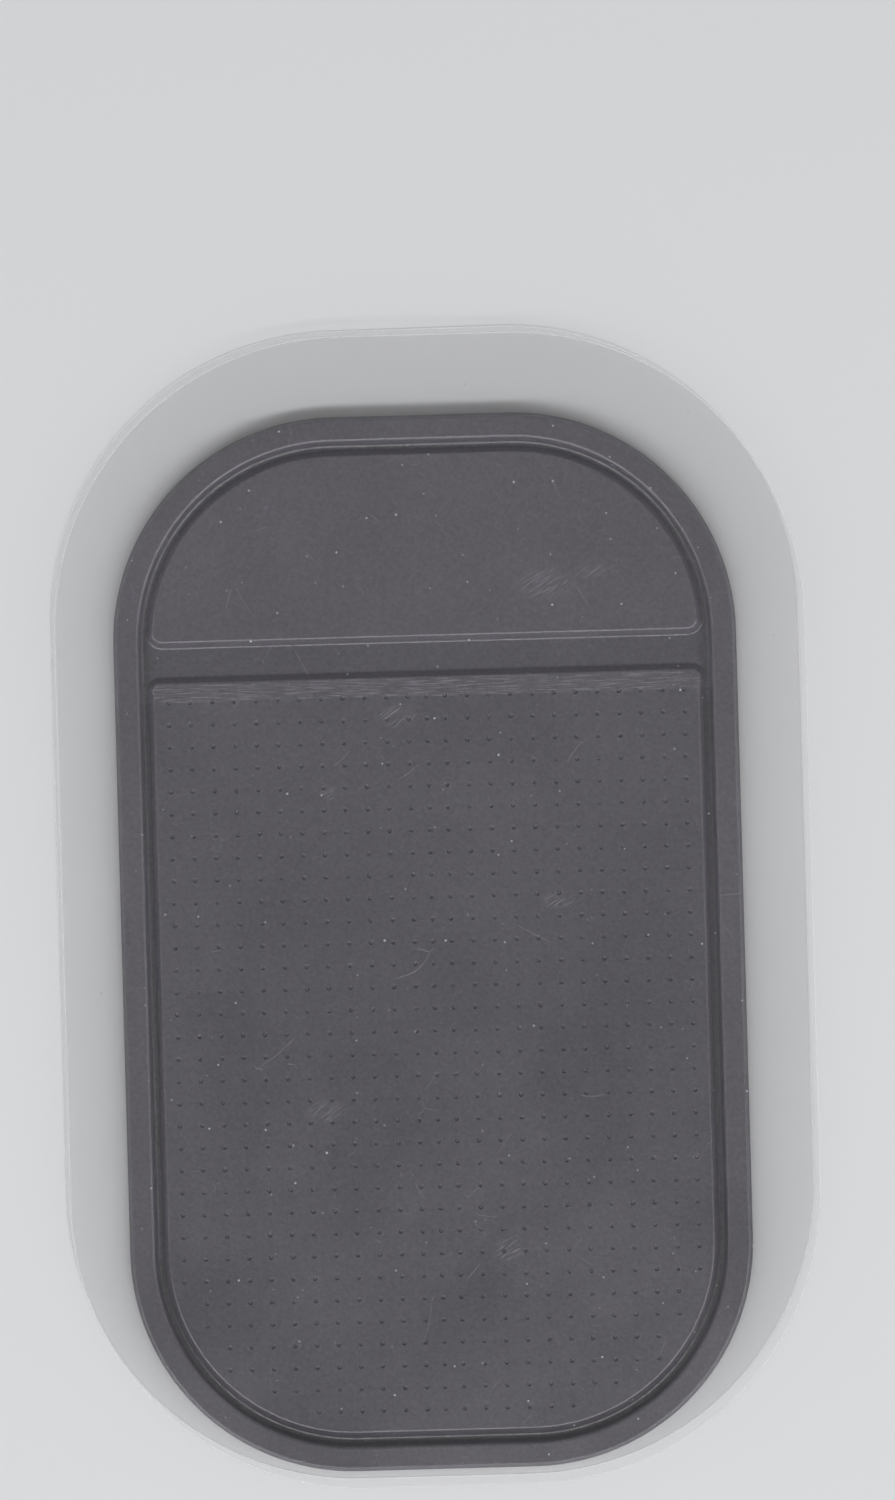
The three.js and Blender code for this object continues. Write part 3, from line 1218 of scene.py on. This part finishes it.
class Lie(Enum):
    """How a liner lies: under the mat on the table, or over the mat's rim."""

    UNDER = "back_liner"
    OVER = "front_liner"

    @property
    def seed(self) -> int:
        """The pattern of this liner's waves, dust and smears."""
        return {Lie.UNDER: 10, Lie.OVER: 11}[self]


@dataclass
class Liner:
    """A clear film cut a little larger than the mat, which peels off."""

    lie: Lie
    mat: GelMat
    corner: float = 38.4
    thickness: float = 0.08  # a little under its solid's, so that it doesn't meet the mat's face
    edge_round: float = 0.03
    edge_reach: float = 0.16  # how far in the rounded edge's section runs
    grid_step: float = 2.4
    grid_margin: float = 0.64  # how far the grid keeps from the cut edge
    wave: float = 0.45
    wave_length: float = 34
    wave_span: Span = (0.6, 8.4)  # how far past the mat the waves start, and are full
    rise: float = 0.25  # how far the waves of the under film are lifted, as a share
    dip: float = 0.26  # how far the over film hangs down inside the rim
    dip_end: float = 1.6  # where it hangs its full depth, in pad insets from the outer edge
    dip_ease: float = 0.3  # how far the waves ease the dip, as a share
    slope_step: float = 0.2  # distance over which the film's slope is measured
    offset: np.ndarray = field(init=False)
    outline: Outline = field(init=False)
    flat: Span = field(init=False)

    def __post_init__(self) -> None:
        """Take the size and place from the frame."""
        low, high = (np.array(corner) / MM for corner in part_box(self.lie.value))
        middle = (low + high)[:2] / 2
        rest = low[2] if self.lie is Lie.UNDER else high[2] - self.thickness
        self.offset = np.array([*middle, rest])
        half, end = (high - low)[:2] / 2
        self.outline = Outline(half, -end, end, self.corner, self.corner)
        self.flat = (2 * half, 2 * end)

    def _lift(self, points: np.ndarray) -> np.ndarray:
        """Give how far the film is lifted off its level.

        Args:
            points: Flat places on the film.

        Returns:
            The lift at each place.
        """
        beyond = self.mat.outline.beyond(points + self.offset[:2] - self.mat.offset[:2])
        spots = points / self.wave_length
        ripple = np.array([noise.noise((x, y, self.lie.seed)) for x, y in spots])
        free = smooth_step(beyond, *self.wave_span)
        if self.lie is Lie.UNDER:
            return self.wave * free * np.maximum(ripple + self.rise, 0)
        inside = smooth_step(beyond, -self.mat.rim_width, -self.dip_end * self.mat.pad_inset)
        return self.wave * free * ripple - self.dip * inside * (1 - self.dip_ease * np.abs(ripple))

    def _drape(self, skin: Skin) -> None:
        """Bend a flat film to the way that it lies.

        Args:
            skin: The film's skin, lying flat.
        """
        flat = skin.points[:, :2]
        lift = self._lift(flat)
        steps = np.eye(2) * self.slope_step
        slopes = [(self._lift(flat + step) - lift) / self.slope_step for step in steps]
        skin.points[:, 2] += lift
        skin.facing[:, :2] -= np.column_stack(slopes) * skin.facing[:, 2:]

    def _edge(self) -> Section:
        """Give the section of the film's cut edge.

        Returns:
            The section, from the underside round to the top.
        """
        return Section(
            [
                Corner(self.edge_reach, 0),
                Corner(0, 0, self.edge_round),
                Corner(0, self.thickness, self.edge_round),
                Corner(self.edge_reach, self.thickness),
            ]
        )

    def build(self, finish: FilmFinish) -> bpy.types.Object:
        """Build the film and dress it.

        Args:
            finish: What it is made of.

        Returns:
            The film, riding on its body.
        """
        skin = Skin()
        rings = skin.sweep(self.outline, self._edge())
        inner = self.outline.grid(self.grid_step, self.grid_margin)
        skin.fill(rings[0], [], inner, -1)
        skin.fill(rings[-1], [], inner, 1)
        self._drape(skin)
        node = self.lie.value
        material = finish.material(f"{node}_film", self.lie.seed)
        made = skin.piece(f"clear_{node}", self.offset, material)
        # the cut edge's points, on which the film's material paints a pale glint
        skin.paint(made, "edge", np.isin(np.arange(len(skin.points)), rings[1:-1]))
        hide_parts(node)
        width, length = (size * MM for size in self.flat)
        area = width * length - (4 - math.pi) * (self.corner * MM) ** 2
        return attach(made, node)


@dataclass
class Studio:
    """A plain pale floor, one large soft lamp, an even surround and the camera, in metres."""

    floor_colour: Colour = (0.66, 0.665, 0.68)
    floor_roughness: float = 0.9
    floor_specular: float = 0.1
    floor_size: float = 6.0
    floor_gap: float = 0.03 * MM
    fade: Span = (0.25, 1.2)  # how far away the floor starts to join the backdrop, and has
    zenith: float = 0.32
    horizon: float = 1.15
    far_side: float = 0.35  # light from beyond the grip panel, as a share
    far_span: Span = (0.25, 0.9)
    mirror_span: Span = (0.5, 0.2)  # heights between which a gloss starts to show the backdrop
    lamp_turn: float = math.radians(6)
    lamp_rise: float = math.radians(53)
    lamp_distance: float = 1.5
    lamp_size: Span = (8.0, 0.25)
    lamp_power: float = 51.0
    lens: float = 150
    sensor: float = 36
    frame_height: float = 198.5 * MM
    aim: Span = (2.61 * MM, 25.36 * MM)  # from the mat's middle
    roll: float = math.radians(-1.6)

    def lay_floor(self) -> None:
        """Lay the floor just under the object, fading into the backdrop far away."""
        made, board = new_material("pale_floor")
        sockets = {
            "Base Color": self.floor_colour,
            "Roughness": self.floor_roughness,
            "Specular IOR Level": self.floor_specular,
        }
        near = board.node("ShaderNodeBsdfPrincipled", {}, sockets)
        far = board.node("ShaderNodeEmission", {}, {"Color": self.floor_colour})
        path = board.node("ShaderNodeLightPath", {}, {}, "Is Camera Ray")
        start, end = (distance / MM for distance in self.fade)
        away = board.ramp(board.length(board.place()), start, end)
        fade = (path + path.also("Is Glossy Ray")) * away
        shader = board.node("ShaderNodeMixShader", {}, {0: fade, 1: near, 2: far})
        board.node("ShaderNodeOutputMaterial", {}, {"Surface": shader})
        half = self.floor_size / 2
        signs = ((-1, -1), (1, -1), (1, 1), (-1, 1))
        corners = [(x * half, y * half, -self.floor_gap) for x, y in signs]
        mesh = bpy.data.meshes.new("floor")
        mesh.from_pydata(corners, [], [(0, 1, 2, 3)])
        mesh.materials.append(made)
        floor = bpy.data.objects.new("floor", mesh)
        bpy.context.scene.collection.objects.link(floor)

    def hang_lamp(self) -> None:
        """Hang the lamp over the foot of the mat."""
        lamp = bpy.data.lights.new("soft_lamp", "AREA")
        lamp.shape = "RECTANGLE"
        lamp.size, lamp.size_y = self.lamp_size
        lamp.energy = self.lamp_power
        made = bpy.data.objects.new("soft_lamp", lamp)
        flat = math.cos(self.lamp_rise)
        across, along = math.sin(self.lamp_turn), -math.cos(self.lamp_turn)
        way = Vector((flat * across, flat * along, math.sin(self.lamp_rise)))
        made.location = way * self.lamp_distance
        made.rotation_euler = way.to_track_quat("Z", "Y").to_euler()
        bpy.context.scene.collection.objects.link(made)

    def set_surround(self) -> None:
        """Set the light from all round, and the pale backdrop that the camera and glosses see."""
        world = bpy.data.worlds.new("surround")
        world.use_nodes = True
        bpy.context.scene.world = world
        board = Board(world.node_tree)
        way = board.node("ShaderNodeTexCoord", {}, {}, "Generated")
        height = board.node("ShaderNodeSeparateXYZ", {}, {0: way}, "Z")
        level = self.horizon - (self.horizon - self.zenith) * board.ramp(height, 0, 1)
        level = level * (1 - (1 - self.far_side) * board.ramp(height.also("Y"), *self.far_span))
        plain = board.node("ShaderNodeBackground", {}, {"Color": (1, 1, 1), "Strength": level})
        pale = board.node("ShaderNodeBackground", {}, {"Color": self.floor_colour, "Strength": 1.0})
        seen = board.node("ShaderNodeLightPath", {}, {}, "Is Camera Ray")
        mirrored = seen.also("Is Glossy Ray") * board.ramp(height, *self.mirror_span)
        both = board.node("ShaderNodeMixShader", {}, {0: seen + mirrored, 1: plain, 2: pale})
        board.node("ShaderNodeOutputWorld", {}, {"Surface": both})

    def point_camera(self, mat: GelMat) -> None:
        """Look straight down, as the photograph does.

        Args:
            mat: The mat that the view is placed by.
        """
        lens = bpy.data.cameras.new("camera")
        lens.lens, lens.sensor_width = self.lens, self.sensor
        camera = bpy.data.objects.new("camera", lens)
        x, y, low = mat.offset * MM
        rise = self.frame_height * self.lens / self.sensor
        camera.location = (x + self.aim[0], y + self.aim[1], low + mat.height * MM + rise)
        camera.rotation_euler = (0, 0, self.roll)
        bpy.context.scene.collection.objects.link(camera)
        bpy.context.scene.camera = camera


def main() -> None:
    """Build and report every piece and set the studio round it."""
    logging.basicConfig(level=logging.INFO, format="%(name)s: %(message)s")
    LOG.info("frame holds %s", ", ".join(sorted(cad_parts)))
    bpy.context.scene.view_settings.view_transform = "Standard"
    mat = GelMat()
    studio = Studio()
    studio.point_camera(mat)
    pieces = [mat.build(GelFinish())]
    pieces += [Liner(lie, mat).build(FilmFinish()) for lie in Lie]
    for piece in pieces:
        mesh = piece.data
        LOG.info("%s: %d points, %d faces", piece.name, len(mesh.vertices), len(mesh.polygons))
    studio.lay_floor()
    studio.hang_lamp()
    studio.set_surround()


if __name__ == "__main__":
    main()
